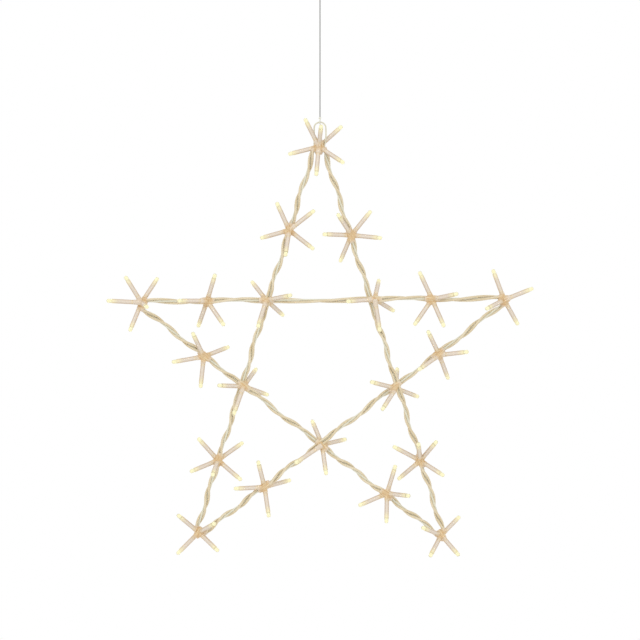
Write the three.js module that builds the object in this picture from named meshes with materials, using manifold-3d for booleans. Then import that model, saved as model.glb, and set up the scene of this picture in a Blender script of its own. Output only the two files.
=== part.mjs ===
// A hanging light star. Five straight wires cross to a star, and a two-strand light string is wound round
// each of them. Twenty clusters of small lamps in sleeves sit on the wires, and the star hangs on a thin
// cord that is tied through an eye at its top.
// Millimetres, +Z up. The star faces -Y, and the origin is where a hook bears in the cord's upper loop.

import * as THREE from 'three';
import { mergeVertices } from 'three/addons/utils/BufferGeometryUtils.js';
import Module from 'manifold-3d';

const wasm = await Module();
wasm.setup();

// Star outline, between the middles of its tip clusters
const starWidth = 435;
const starHeight = 464;

// Gap between neighbouring pieces
const clearance = 0.3;

// Frame wire, and the thinner wire of the hanging eye
const wireRadius = 1.15;
const eyeWireRadius = 0.9;

// Light string, wound round the wire. The lay is the length of one full turn.
const strandRadius = 1.2;
const strandLay = 54;
const levelStrandLay = 104;
const levelMiddleLay = 200;

// Lamps in their sleeves, measured from the middle of the cluster
const lampLength = 38;
const sleeveRadius = 2.65;
const lensRadius = 2.4;
const lensLength = 6;
const lensDome = 2.2;

// Moulded joints that hold the lamps on the wire, tapered to a share of their radius at both ends
const jointWall = 0.9;
const jointLength = 18;
const jointTaper = 3;
const jointEndShare = 0.9;
const rootReach = 9.3;
const tipJointRadius = 5.8;
const tipJointLength = 14;
const topJointRadius = 6.8;
const topJointLength = 19;
const barInset = 4.2;

// Hanging eye
const eyeRadius = 7;
const eyeHeight = 29.4;
const eyeKneeDrop = 11.6;

// Hanging cord, from the hook to the eye
const cordRadius = 0.8;
const hangLength = 180;
const hookLoopLength = 22;
const hookLoopWidth = 9;
const knotRadius = 1.9;
const knotLength = 4.6;

// Fineness of the round forms
const wireSides = 6;
const strandSides = 5;
const sleeveSides = 6;
const cordSides = 8;
const boreSides = 8;
const stepsPerTurn = 7;
const strandStepsPerWireStep = 3;
const eyeSteps = 22;
const eyeArcParts = 6;
const hookArcParts = 11;
const hookLoopSteps = 24;
const ringSteps = 16;
const knotSides = 10;
const knotRings = 8;
const diametersPerCordStep = 3;
const weldShare = 1e-4;

// What follows from the sizes
const strandOrbit = wireRadius + clearance + strandRadius;
const bundleRadius = strandOrbit + strandRadius;
const boreRadius = bundleRadius + clearance;
const boreCorner = boreRadius / Math.cos(Math.PI / boreSides);
const jointRadius = boreCorner + jointWall;
const weave = wireRadius + clearance / 2;
const eyeTopZ = -hangLength;
const topZ = eyeTopZ - eyeHeight;
const strandStep = strandLay / stepsPerTurn;
const wireStep = strandStepsPerWireStep * strandStep;
const holdHalf = jointRadius + boreRadius + bundleRadius;

// Each strand lies this share of a full turn to either side of the pair's middle
const pairShare = 0.145;
const pairAngle = 2 * Math.PI * pairShare;
const strandAside = strandOrbit * Math.sin(pairAngle);
const strandAhead = strandOrbit * Math.cos(pairAngle);

// At a crossing the pair lies on its wire's outer side, and each wound wire has a flat room. A joint there
// is deep enough for the rooms of both wires.
const roomHalfWidth = strandAside + strandRadius + clearance;
const roomAhead = strandAhead + strandRadius + clearance;
const roomBehind = wireRadius + clearance;
const crossingReach = weave + roomAhead;
const crossingJointRadius = crossingReach / Math.sqrt(1 - (roomHalfWidth / jointRadius) ** 2) + jointWall;

const materials = {
  wire: new THREE.MeshStandardMaterial({ color: '#efe9da', roughness: 0.45, metalness: 0.1 }),
  strand: new THREE.MeshStandardMaterial({ color: '#d9c8a4', roughness: 0.3, metalness: 0 }),
  lamp: new THREE.MeshStandardMaterial({ color: '#e8dcc0', roughness: 0.35, metalness: 0 }),
  cord: new THREE.MeshStandardMaterial({ color: '#c4c4c2', roughness: 0.8, metalness: 0 }),
};

const star = new THREE.Group();

function addMesh(name, geometry, material) {
  const mesh = new THREE.Mesh(geometry, material);
  mesh.name = name;
  star.add(mesh);
}

// Joins and cuts of closed meshes

function toSolid(geometry) {
  const bare = geometry.clone();
  bare.deleteAttribute('normal');
  bare.deleteAttribute('uv');
  const merged = mergeVertices(bare, clearance * weldShare);
  return new wasm.Manifold(new wasm.Mesh({
    numProp: 3,
    vertProperties: new Float32Array(merged.attributes.position.array),
    triVerts: new Uint32Array(merged.index.array),
  }));
}

function toGeometry(solid) {
  const mesh = solid.getMesh();
  const geometry = new THREE.BufferGeometry();
  geometry.setAttribute('position', new THREE.BufferAttribute(new Float32Array(mesh.vertProperties), 3));
  geometry.setIndex(new THREE.BufferAttribute(new Uint32Array(mesh.triVerts), 1));
  geometry.computeVertexNormals();
  return geometry;
}

function joined(geometries) {
  return geometries.map(toSolid).reduce((whole, piece) => whole.add(piece));
}

// The body itself, without the crumbs that a grazing cut leaves
function largestBody(solid) {
  return solid.decompose().reduce((a, b) => (a.volume() > b.volume() ? a : b));
}

// Tubes along a curve, and turned forms along a direction

function polygon(radius, sides) {
  const shape = new THREE.Shape();
  for (let i = 0; i < sides; i += 1) {
    const angle = (2 * Math.PI * i) / sides;
    const place = [radius * Math.cos(angle), radius * Math.sin(angle)];
    if (i === 0) {
      shape.moveTo(...place);
    } else {
      shape.lineTo(...place);
    }
  }
  shape.closePath();
  return shape;
}

function tube(curve, radius, sides, steps) {
  return new THREE.ExtrudeGeometry(polygon(radius, sides), { steps, extrudePath: curve, curveSegments: 1 });
}

function turned(profile, sides, start, direction) {
  const points = profile.map(([radius, along]) => new THREE.Vector2(radius, along));
  const turn = new THREE.Quaternion().setFromUnitVectors(new THREE.Vector3(0, 1, 0), direction);
  const geometry = new THREE.LatheGeometry(points, sides).applyQuaternion(turn);
  return geometry.translate(start.x, start.y, start.z);
}

// A direction in the star's plane, square to another one there
function squareTo(along) {
  return new THREE.Vector3(-along.z, 0, along.x);
}

// Turns a form from the axes X, Y and Z to across, along and front to back
function laidAlong(along, geometry, centre) {
  const backward = new THREE.Vector3(0, 1, 0);
  geometry.applyMatrix4(new THREE.Matrix4().makeBasis(squareTo(along), along, backward));
  return geometry.translate(centre.x, centre.y, centre.z);
}

// A moulded joint: a barrel along the wire, which may be deeper than it is wide
function barrel({ radius, depthRadius, length, centre, along }) {
  const half = length / 2;
  const profile = [
    [0, -half],
    [jointEndShare * radius, -half],
    [radius, jointTaper - half],
    [radius, half - jointTaper],
    [jointEndShare * radius, half],
    [0, half],
  ];
  const geometry = new THREE.LatheGeometry(profile.map(([x, y]) => new THREE.Vector2(x, y)), boreSides);
  geometry.scale(1, 1, depthRadius / radius);
  return laidAlong(along, geometry, centre);
}

// Tips. Across is a share of the star's width from the cord's line, down a share of its height. Leaving
// and arriving are how far the tip's two wires pass from its middle, as shares of the wound wire's radius.

const tipShares = {
  top: { across: -0.0033, down: 0, leaving: 1.18, arriving: 1.32 },
  left: { across: -0.4921, down: 0.4031, leaving: 1.31, arriving: 0.36 },
  right: { across: 0.5079, down: 0.3958, leaving: 0.52, arriving: 0.83 },
  left_foot: { across: -0.3339, down: 0.9974, leaving: 1.02, arriving: 0.83 },
  right_foot: { across: 0.3342, down: 1.0047, leaving: 0.86, arriving: 0.4 },
};
const barPlans = [
  { from: 'top', to: 'left_foot', lay: strandLay, middleLay: strandLay },
  { from: 'left_foot', to: 'right', lay: strandLay, middleLay: strandLay },
  { from: 'right', to: 'left', lay: levelStrandLay, middleLay: levelMiddleLay },
  { from: 'left', to: 'right_foot', lay: strandLay, middleLay: strandLay },
  { from: 'right_foot', to: 'top', lay: strandLay, middleLay: strandLay },
];

const tips = {};
for (const [name, share] of Object.entries(tipShares)) {
  tips[name] = new THREE.Vector3(share.across * starWidth, 0, topZ - share.down * starHeight);
}

function directionBetween(from, to) {
  return to.clone().sub(from).normalize();
}

// The middle line of the two wires that meet at a tip
function tipMiddle(tip) {
  const middle = new THREE.Vector3();
  for (const { from, to } of barPlans) {
    if (from === tip || to === tip) {
      middle.add(directionBetween(tips[tip], tips[from === tip ? to : from]));
    }
  }
  return middle.normalize();
}

// Where the wire between a tip and another one passes the first of them
function wirePlace(tip, other) {
  const sideways = squareTo(tipMiddle(tip));
  const side = Math.sign(directionBetween(tips[tip], tips[other]).dot(sideways));
  const leaves = barPlans.some(({ from, to }) => from === tip && to === other);
  const apart = leaves ? tipShares[tip].leaving : tipShares[tip].arriving;
  return tips[tip].clone().addScaledVector(sideways, side * apart * bundleRadius);
}

// Bars: a wire with its two strands, woven in front of one neighbour and behind the other

const bars = barPlans.map(({ from, to, lay, middleLay }) => {
  const start = wirePlace(from, to);
  const end = wirePlace(to, from);
  const along = directionBetween(start, end);
  return { start, along, across: squareTo(along), length: start.distanceTo(end), lay, middleLay };
});

function crossingDistance(bar, other) {
  const between = other.start.clone().sub(bar.start);
  const turn = bar.along.x * other.along.z - bar.along.z * other.along.x;
  return (between.x * other.along.z - between.z * other.along.x) / turn;
}

bars.forEach((bar, k) => {
  bar.crossings = [2, 3].map((step) => crossingDistance(bar, bars[(k + step) % bars.length]));
});

// Depth of the wire at a distance along its bar: forward at the first crossing, back at the second
function barDepth(bar, distance) {
  const reach = (bar.crossings[1] - bar.crossings[0]) / 2;
  const swell = (crossing) => {
    const away = Math.max(0, Math.abs(distance - crossing) - holdHalf) / (reach - holdHalf);
    return away < 1 ? (1 + Math.cos(Math.PI * away)) / 2 : 0;
  };
  return weave * (swell(bar.crossings[1]) - swell(bar.crossings[0]));
}

// Turns of the strands, which lie side by side. The pair lies outside the star at a tip, before the wire
// at its first crossing and behind it at the second. So between these places it makes whole turns, and the
// shares of one turn that are given here.
const turnShares = { atTip: 0.5, toCrossing: 0.25, betweenCrossings: 0.5 };

function twistStations(bar) {
  const [first, second] = bar.crossings;
  const { toCrossing, betweenCrossings } = turnShares;
  const turnsOver = (length, lay, share) => Math.max(0, Math.round(length / lay - share)) + share;
  const lengths = [
    first - holdHalf - barInset,
    second - first - 2 * holdHalf,
    bar.length - barInset - second - holdHalf,
  ];
  const turns = [
    turnsOver(lengths[0], bar.lay, toCrossing),
    turnsOver(lengths[1], bar.middleLay, betweenCrossings),
    turnsOver(lengths[2], bar.lay, toCrossing),
  ];
  const starts = [barInset, first + holdHalf, second + holdHalf];
  return lengths.map((length, i) => ({ start: starts[i], length, turns: turns[i] }));
}

function twistAngle(bar, distance) {
  let turns = turnShares.atTip;
  for (const station of bar.stations) {
    turns += station.turns * THREE.MathUtils.clamp((distance - station.start) / station.length, 0, 1);
  }
  return 2 * Math.PI * turns;
}

bars.forEach((bar) => {
  bar.stations = twistStations(bar);
});

class BarCurve extends THREE.Curve {
  constructor(bar, from, to, orbit = 0, phase = 0) {
    super();
    Object.assign(this, { bar, from, to, orbit, phase });
  }

  getPoint(t, target = new THREE.Vector3()) {
    const distance = THREE.MathUtils.lerp(this.from, this.to, t);
    const angle = twistAngle(this.bar, distance) + this.phase;
    target.copy(this.bar.start).addScaledVector(this.bar.along, distance);
    target.addScaledVector(this.bar.across, this.orbit * Math.cos(angle));
    target.y += barDepth(this.bar, distance) + this.orbit * Math.sin(angle);
    return target;
  }
}

function barTubes(bar, from, to, grow) {
  const wireSteps = Math.max(1, Math.round((to - from) / wireStep));
  const strandSteps = Math.max(1, Math.round((to - from) / strandStep));
  const wire = tube(new BarCurve(bar, from, to), wireRadius + grow, wireSides, wireSteps);
  const strands = [-pairAngle, pairAngle].map((phase) => (
    tube(new BarCurve(bar, from, to, strandOrbit, phase), strandRadius + grow, strandSides, strandSteps)
  ));
  return [wire, ...strands];
}

bars.forEach((bar, k) => {
  const [wire, strandA, strandB] = barTubes(bar, barInset, bar.length - barInset, 0);
  addMesh(`frame_wire_${k + 1}`, wire, materials.wire);
  addMesh(`strand_${k + 1}_a`, strandA, materials.strand);
  addMesh(`strand_${k + 1}_b`, strandB, materials.strand);
});

// Hanging eye: the frame wire bent to an upright loop, its feet on the two upper wires

const eyeCentre = new THREE.Vector3(0, 0, eyeTopZ - eyeRadius);
const eyeFeet = [wirePlace('top', 'left_foot'), wirePlace('top', 'right_foot')].map((place, i) => {
  const along = i === 0 ? bars[0].along : bars[4].along.clone().negate();
  return place.clone().addScaledVector(along, barInset - clearance - eyeWireRadius / 2);
});

function eyePoints() {
  const kneeZ = eyeCentre.z - eyeKneeDrop;
  const points = [eyeFeet[0], new THREE.Vector3(-eyeRadius, 0, kneeZ)];
  for (let part = eyeArcParts; part >= 0; part -= 1) {
    const angle = (Math.PI * part) / eyeArcParts;
    const place = new THREE.Vector3(Math.cos(angle), 0, Math.sin(angle));
    points.push(place.multiplyScalar(eyeRadius).add(eyeCentre));
  }
  points.push(new THREE.Vector3(eyeRadius, 0, kneeZ), eyeFeet[1]);
  return points;
}

const eyeCurve = new THREE.CatmullRomCurve3(eyePoints());
addMesh('hanging_eye', tube(eyeCurve, eyeWireRadius, wireSides, eyeSteps), materials.wire);

// Lamp clusters

const tipJoints = {
  top: { tip: 'top', radius: topJointRadius, length: topJointLength },
  left_tip: { tip: 'left', radius: tipJointRadius, length: tipJointLength },
  right_tip: { tip: 'right', radius: tipJointRadius, length: tipJointLength },
  left_foot: { tip: 'left_foot', radius: tipJointRadius, length: tipJointLength },
  right_foot: { tip: 'right_foot', radius: tipJointRadius, length: tipJointLength },
};

// Along is a share of the bar's length. Beside and past are how far the lamps' meeting place is beside the
// wire, and how far the joint is past the crossing, as shares of the joint's radius.
const armJointShares = {
  upper_left: { bar: 0, along: 0.2174, beside: -0.02 },
  upper_right: { bar: 4, along: 0.7708, beside: -0.17 },
  left_arm_upper: { bar: 2, along: 0.8197, beside: 0 },
  left_arm_lower: { bar: 3, along: 0.2142, beside: -0.26 },
  right_arm_upper: { bar: 2, along: 0.1978, beside: 0.08 },
  right_arm_lower: { bar: 1, along: 0.7793, beside: -0.45 },
  left_leg_outer: { bar: 0, along: 0.8164, beside: -0.11 },
  right_leg_outer: { bar: 4, along: 0.189, beside: 0.09 },
  left_leg_inner: { bar: 1, along: 0.2058, beside: -0.15 },
  right_leg_inner: { bar: 3, along: 0.8199, beside: 0.35 },
};
const crossingJointShares = {
  crossing_left: { bar: 2, crossing: 1, past: 0.3, beside: -0.02 },
  crossing_right: { bar: 2, crossing: 0, past: -0.93, beside: -0.05 },
  crossing_lower_left: { bar: 3, crossing: 0, past: 0.58, beside: -0.12 },
  crossing_lower_right: { bar: 1, crossing: 1, past: -0.69, beside: -0.45 },
  crossing_bottom: { bar: 3, crossing: 1, past: 0.52, beside: 0.15 },
};

// Each lamp: its angle from +X seen from the front, its reach seen from the front as a share of its
// length, and whether it leans forward (1) or back (-1).
const lampShares = {
  top: [[117, 0.98, 1], [42, 1, -1], [194, 1, -1], [-34, 0.97, 1], [265, 0.95, 1], [83, 0.63, 1]],
  left_tip: [[121, 0.97, 1], [58, 0.94, -1], [177, 1.1, 1], [248, 0.99, 1], [-33, 0.28, 1]],
  right_tip: [[110.5, 1.03, -1], [22, 0.97, 1], [-59.5, 0.93, -1], [206, 0.69, 1]],
  left_foot: [[138, 0.89, 1], [225, 1, -1], [-41, 0.84, 1], [33, 0.65, 1]],
  right_foot: [[42, 0.83, -1], [238, 0.73, 1], [-48, 0.8, 1], [154.5, 0.7, 1]],
  upper_left: [[114.5, 0.96, 1], [38, 1.03, 1], [195, 0.96, -1], [-38, 1, -1], [262, 0.85, 1]],
  upper_right: [[124, 0.79, 1], [51, 1, -1], [179, 0.91, 1], [-6, 0.97, 1], [247, 0.92, -1]],
  left_arm_upper: [[72, 0.89, 1], [180, 0.92, 1], [249.5, 0.89, -1], [-55, 0.97, 1]],
  left_arm_lower: [[113.5, 0.84, 1], [21.5, 0.85, -1], [190, 1.03, 1], [264, 1, 1]],
  right_arm_upper: [[115.5, 0.97, 1], [12, 0.81, 1], [235.6, 1.01, -1], [-67, 0.96, 1]],
  right_arm_lower: [[116.5, 0.87, 1], [7, 0.91, 1], [-68, 0.84, -1], [214, 0.84, 1]],
  crossing_left: [[128.5, 0.78, -1], [11, 0.83, 1], [-42.5, 0.73, -1], [253, 0.91, 1]],
  crossing_right: [[76.5, 0.65, -1], [185, 0.91, 1], [-31, 0.74, -1], [-81, 1.05, 1]],
  crossing_lower_left: [[55, 0.68, -1], [177, 0.8, 1], [-21, 0.83, -1], [251, 0.94, 1]],
  crossing_lower_right: [[165, 0.85, 1], [84, 0.63, -1], [-21.5, 0.8, -1], [236, 0.82, 1]],
  crossing_bottom: [[113, 0.83, -1], [11, 0.79, -1], [-82, 0.95, 1], [214, 1.05, 1]],
  left_leg_outer: [[131, 0.95, 1], [35, 0.97, -1], [202, 0.94, 1], [-40, 0.98, 1], [252, 0.47, 1]],
  right_leg_outer: [[152, 0.99, 1], [52, 0.82, 1], [221.5, 0.94, -1], [-32, 0.86, 1], [98.6, 0.6, 1]],
  left_leg_inner: [[103, 0.88, 1], [182, 0.96, 1], [13, 0.85, -1], [-81, 0.95, 1]],
  right_leg_inner: [[74, 0.95, 1], [-3, 0.7, 1], [268, 0.91, 1], [204, 0.99, -1]],
};

// The lens rounds off past its shoulder, whose radius and height are these shares of the dome's own
const lensShoulderRadiusShare = 0.5;
const lensShoulderHeightShare = 0.8;

function lampGeometry(root, direction, length) {
  const sleeveEnd = length - lensLength;
  const profile = [
    [0, 0],
    [sleeveRadius, 0],
    [sleeveRadius, sleeveEnd],
    [lensRadius, length - lensDome],
    [lensShoulderRadiusShare * lensRadius, length - (1 - lensShoulderHeightShare) * lensDome],
    [0, length],
  ];
  return turned(profile, sleeveSides, root, direction);
}

// How far a lamp's root moves forward or back, so that its sleeve passes the wound wires it runs along
function rootRise(direction, passing, roomReach) {
  const apart = roomReach + sleeveRadius;
  const rises = passing.map((along) => {
    const flat = new THREE.Vector3(direction.x, 0, direction.z);
    const aside = rootReach * flat.cross(along).length();
    const lifted = rootReach * Math.abs(direction.y);
    return Math.sqrt(Math.max(0, apart ** 2 - aside ** 2)) - lifted;
  });
  return Math.max(0, ...rises);
}

// Bars near a place, with the distance along each
function barsNear(place, radius) {
  return bars.map((bar) => {
    const away = place.clone().sub(bar.start);
    away.y = 0;
    return { bar, distance: away.dot(bar.along), aside: Math.abs(away.dot(bar.across)) };
  }).filter(({ bar, distance, aside }) => (
    aside < radius + bundleRadius && distance > -radius && distance < bar.length + radius
  ));
}

// The room that a wound wire takes within reach of a joint: flat at its crossings, and round elsewhere
function barRooms(bar, distance, reach) {
  const from = Math.max(distance - reach, barInset - clearance);
  const to = Math.min(distance + reach, bar.length - barInset + clearance);
  const rooms = [];
  let roundFrom = from;
  const addRound = (roundTo) => {
    if (roundTo > roundFrom) {
      const curve = new BarCurve(bar, roundFrom, roundTo);
      rooms.push(tube(curve, boreCorner, boreSides, Math.ceil((roundTo - roundFrom) / wireStep)));
    }
  };
  for (const [i, crossing] of bar.crossings.entries()) {
    const flatFrom = Math.max(from, crossing - holdHalf);
    const flatTo = Math.min(to, crossing + holdHalf);
    if (flatTo > flatFrom) {
      addRound(flatFrom);
      roundFrom = flatTo;
      const outward = (roomAhead - roomBehind) / 2;
      const middle = bar.start.clone().addScaledVector(bar.along, (flatFrom + flatTo) / 2);
      middle.y = barDepth(bar, crossing) + (i === 0 ? -outward : outward);
      const flat = new THREE.BoxGeometry(2 * roomHalfWidth, flatTo - flatFrom, roomAhead + roomBehind);
      rooms.push(laidAlong(bar.along, flat, middle));
    }
  }
  addRound(to);
  return rooms;
}

function lampDirection(degrees, seenShare, lean) {
  const angle = THREE.MathUtils.degToRad(degrees);
  const seen = Math.min(1, seenShare);
  const depth = -lean * Math.sqrt(1 - seen * seen);
  return new THREE.Vector3(seen * Math.cos(angle), depth, seen * Math.sin(angle));
}

// The joint at a tip lies on the tip's middle line, and every other one along its wire

function tipPlace({ tip, radius, length }) {
  const centre = tips[tip];
  const along = tipMiddle(tip);
  return { centre, meeting: centre, along, radius, depthRadius: radius, length, roomReach: boreRadius };
}

function jointPlace(bar, distance, beside, depthRadius, roomReach) {
  const centre = bar.start.clone().addScaledVector(bar.along, distance);
  const meeting = centre.clone().addScaledVector(bar.across, beside * jointRadius);
  const sizes = { radius: jointRadius, depthRadius, length: jointLength, roomReach };
  return { centre, meeting, along: bar.along, ...sizes };
}

const clusterPlaces = {};
for (const [name, joint] of Object.entries(tipJoints)) {
  clusterPlaces[name] = tipPlace(joint);
}
for (const [name, { bar, along, beside }] of Object.entries(armJointShares)) {
  const distance = along * bars[bar].length;
  clusterPlaces[name] = jointPlace(bars[bar], distance, beside, jointRadius, boreRadius);
}
for (const [name, { bar, crossing, past, beside }] of Object.entries(crossingJointShares)) {
  const distance = bars[bar].crossings[crossing] + past * jointRadius;
  clusterPlaces[name] = jointPlace(bars[bar], distance, beside, crossingJointRadius, crossingReach);
}

function clusterGeometry(name) {
  const place = clusterPlaces[name];
  const near = barsNear(place.centre, place.radius);
  const pieces = [barrel(place)];
  for (const [degrees, seenShare, lean] of lampShares[name]) {
    const direction = lampDirection(degrees, seenShare, lean);
    const root = place.meeting.clone();
    root.y -= lean * rootRise(direction, near.map(({ bar }) => bar.along), place.roomReach);
    pieces.push(lampGeometry(root, direction, lampLength * Math.max(1, seenShare)));
  }
  let solid = joined(pieces);
  for (const { bar, distance } of near) {
    if (name in tipJoints) {
      const atStart = distance < bar.length / 2;
      const reach = strandStep;
      const from = atStart ? barInset - clearance : bar.length - barInset - reach;
      const to = atStart ? barInset + reach : bar.length - barInset + clearance;
      barTubes(bar, from, to, clearance).forEach((geometry) => {
        solid = solid.subtract(toSolid(geometry));
      });
    } else {
      barRooms(bar, distance, lampLength).forEach((geometry) => {
        solid = solid.subtract(toSolid(geometry));
      });
    }
  }
  if (name === 'top') {
    solid = solid.subtract(toSolid(tube(eyeCurve, eyeWireRadius + clearance, wireSides, eyeSteps)));
  }
  return toGeometry(largestBody(solid));
}

for (const name of Object.keys(clusterPlaces)) {
  addMesh(`lamp_cluster_${name}`, clusterGeometry(name), materials.lamp);
}

// Hanging cord: the ring through the eye, its knot, the taut stretch, and the hook loop with its knot

const ringRadius = eyeWireRadius + clearance + cordRadius;
const ringTopZ = eyeTopZ + ringRadius + cordRadius;
const knotZ = ringTopZ + clearance + knotRadius;
const cordBottomZ = knotZ + knotRadius + clearance;
const hookKnotBottomZ = cordRadius - hookLoopLength - knotLength;
const cordTopZ = hookKnotBottomZ - clearance;

const ring = new THREE.TorusGeometry(ringRadius, cordRadius, cordSides, ringSteps);
ring.rotateY(Math.PI / 2);
ring.translate(0, 0, eyeTopZ);
addMesh('cord_ring', ring, materials.cord);

const knot = new THREE.SphereGeometry(knotRadius, knotSides, knotRings);
knot.rotateX(Math.PI / 2);
knot.translate(0, 0, knotZ);
addMesh('cord_knot', knot, materials.cord);

const cordEnds = [cordBottomZ, cordTopZ].map((z) => new THREE.Vector3(0, 0, z));
const cordLine = new THREE.LineCurve3(...cordEnds);
const cordSteps = Math.round(cordLine.getLength() / (diametersPerCordStep * 2 * cordRadius));
addMesh('hanging_cord', tube(cordLine, cordRadius, cordSides, cordSteps), materials.cord);

// The arch of the hook loop goes on by this share of its half circle at each end, and the knot is widest
// in its middle
const archOverrunShare = 0.11;
const knotShoulderShare = 0.3;

function hookLoop() {
  const halfWidth = hookLoopWidth / 2 - cordRadius;
  const archZ = cordRadius - halfWidth;
  const knotMiddleZ = hookKnotBottomZ + knotLength / 2;
  const points = [new THREE.Vector3(-cordRadius, 0, knotMiddleZ)];
  for (let part = 0; part <= hookArcParts; part += 1) {
    const turnedShare = THREE.MathUtils.lerp(1 + archOverrunShare, -archOverrunShare, part / hookArcParts);
    const angle = Math.PI * turnedShare;
    points.push(new THREE.Vector3(halfWidth * Math.cos(angle), 0, archZ + halfWidth * Math.sin(angle)));
  }
  points.push(new THREE.Vector3(cordRadius, 0, knotMiddleZ));
  const loop = tube(new THREE.CatmullRomCurve3(points), cordRadius, cordSides, hookLoopSteps);
  const knotProfile = [
    [0, 0],
    [cordRadius, 0],
    [knotRadius, knotShoulderShare * knotLength],
    [knotRadius, (1 - knotShoulderShare) * knotLength],
    [cordRadius, knotLength],
    [0, knotLength],
  ];
  const base = new THREE.Vector3(0, 0, hookKnotBottomZ);
  const upward = new THREE.Vector3(0, 0, 1);
  return toGeometry(joined([loop, turned(knotProfile, cordSides, base, upward)]));
}

addMesh('cord_hook_loop', hookLoop(), materials.cord);

export default star;
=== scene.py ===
# A hanging light star: five coated wires cross to a star, a two-strand light string is wound round each
# of them, clusters of small warm lamps in milky sleeves sit along it, and it hangs on a thin cord.
# Metres, +Z up. The star faces -Y, and the origin is where a hook bears in the cord's upper loop.

import math
from collections import namedtuple

import bmesh
import bpy
from bpy.props import FloatProperty, FloatVectorProperty, IntProperty, PointerProperty
from mathutils import Matrix, Vector


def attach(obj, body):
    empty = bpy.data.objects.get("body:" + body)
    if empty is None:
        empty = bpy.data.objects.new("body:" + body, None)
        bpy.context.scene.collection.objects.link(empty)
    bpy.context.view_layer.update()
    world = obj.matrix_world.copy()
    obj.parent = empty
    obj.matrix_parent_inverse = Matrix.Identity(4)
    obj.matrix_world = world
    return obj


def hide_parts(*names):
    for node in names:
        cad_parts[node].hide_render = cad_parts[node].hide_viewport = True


bl_info = {
    "name": "Hanging Light Star",
    "version": (1, 0, 0),
    "blender": (4, 5, 0),
    "location": "3D Viewport > Sidebar > Light Star",
    "description": "Builds a wire star wound with a light string, with its lamps, cord and studio",
    "category": "Add Mesh",
}

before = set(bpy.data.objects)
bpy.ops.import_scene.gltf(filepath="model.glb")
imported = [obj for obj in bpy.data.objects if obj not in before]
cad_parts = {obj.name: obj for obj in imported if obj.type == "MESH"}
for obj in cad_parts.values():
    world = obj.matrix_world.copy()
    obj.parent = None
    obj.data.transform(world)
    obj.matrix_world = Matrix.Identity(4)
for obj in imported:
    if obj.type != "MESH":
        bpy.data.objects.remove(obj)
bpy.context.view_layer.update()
MERGE_DISTANCE = 1e-6


def linear(hex_colour):
    """Linear colour of an sRGB hex value such as #ffcc88."""
    shares = [int(hex_colour[i:i + 2], 16) / 255 for i in (1, 3, 5)]
    return tuple(s / 12.92 if s <= 0.04045 else ((s + 0.055) / 1.055) ** 2.4 for s in shares)


def length(name, description, default):
    """A size in metres."""
    return FloatProperty(
        name=name, description=description, default=default, min=0.0, precision=5, unit="LENGTH"
    )


def colour(name, description, default):
    """A colour, given as an sRGB hex value."""
    return FloatVectorProperty(
        name=name, description=description, default=linear(default), min=0.0, max=1.0, subtype="COLOR"
    )


def share(name, description, default):
    """A share of another size or of a whole turn."""
    return FloatProperty(name=name, description=description, default=default, min=0.0, max=1.0)


def count(name, description, default):
    """A number of sides or steps."""
    return IntProperty(name=name, description=description, default=default, min=3)


class StarSizes(bpy.types.PropertyGroup):
    """Sizes of the star, its wound wires and its hanging eye"""

    star_width: length("Star width", "Between the left and the right tip", 0.435)
    star_height: length("Star height", "From the top tip to the feet", 0.464)
    clearance: length("Clearance", "Gap between neighbouring pieces", 0.0003)
    wire_radius: length("Wire radius", "Frame wire with its coating", 0.00115)
    eye_wire_radius: length("Eye wire radius", "Thinner wire of the hanging eye", 0.0009)
    strand_radius: length("Strand radius", "Light string strand over its jacket", 0.0012)
    jacket_give: length("Jacket give", "Soft jacket past its radius, bearing on the wire", 0.0002)
    core_radius: length("Core radius", "Copper core inside the strand's jacket", 0.00078)
    pair_share: share("Pair share", "Each strand beside the pair's middle, as a share of a turn", 0.145)
    strand_lay: length("Strand lay", "Length of one turn of the strands", 0.054)
    level_lay: length("Level lay", "Length of one turn at the ends of the level wire", 0.104)
    level_middle_lay: length("Level middle lay", "Length of one turn in the level wire's middle", 0.2)
    bar_inset: length("Bar inset", "From a tip's middle to the end of a wire", 0.0042)
    eye_radius: length("Eye radius", "Round top of the hanging eye", 0.007)
    eye_height: length("Eye height", "Hanging eye above the top tip", 0.0294)
    eye_knee_drop: length("Eye knee drop", "From the round top to the legs' bend", 0.0116)
    tube_step: length("Tube step", "Spacing of the rings along wires and strands", 0.0016)
    tube_sides: count("Tube sides", "Sides of wires and strands", 14)


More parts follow.
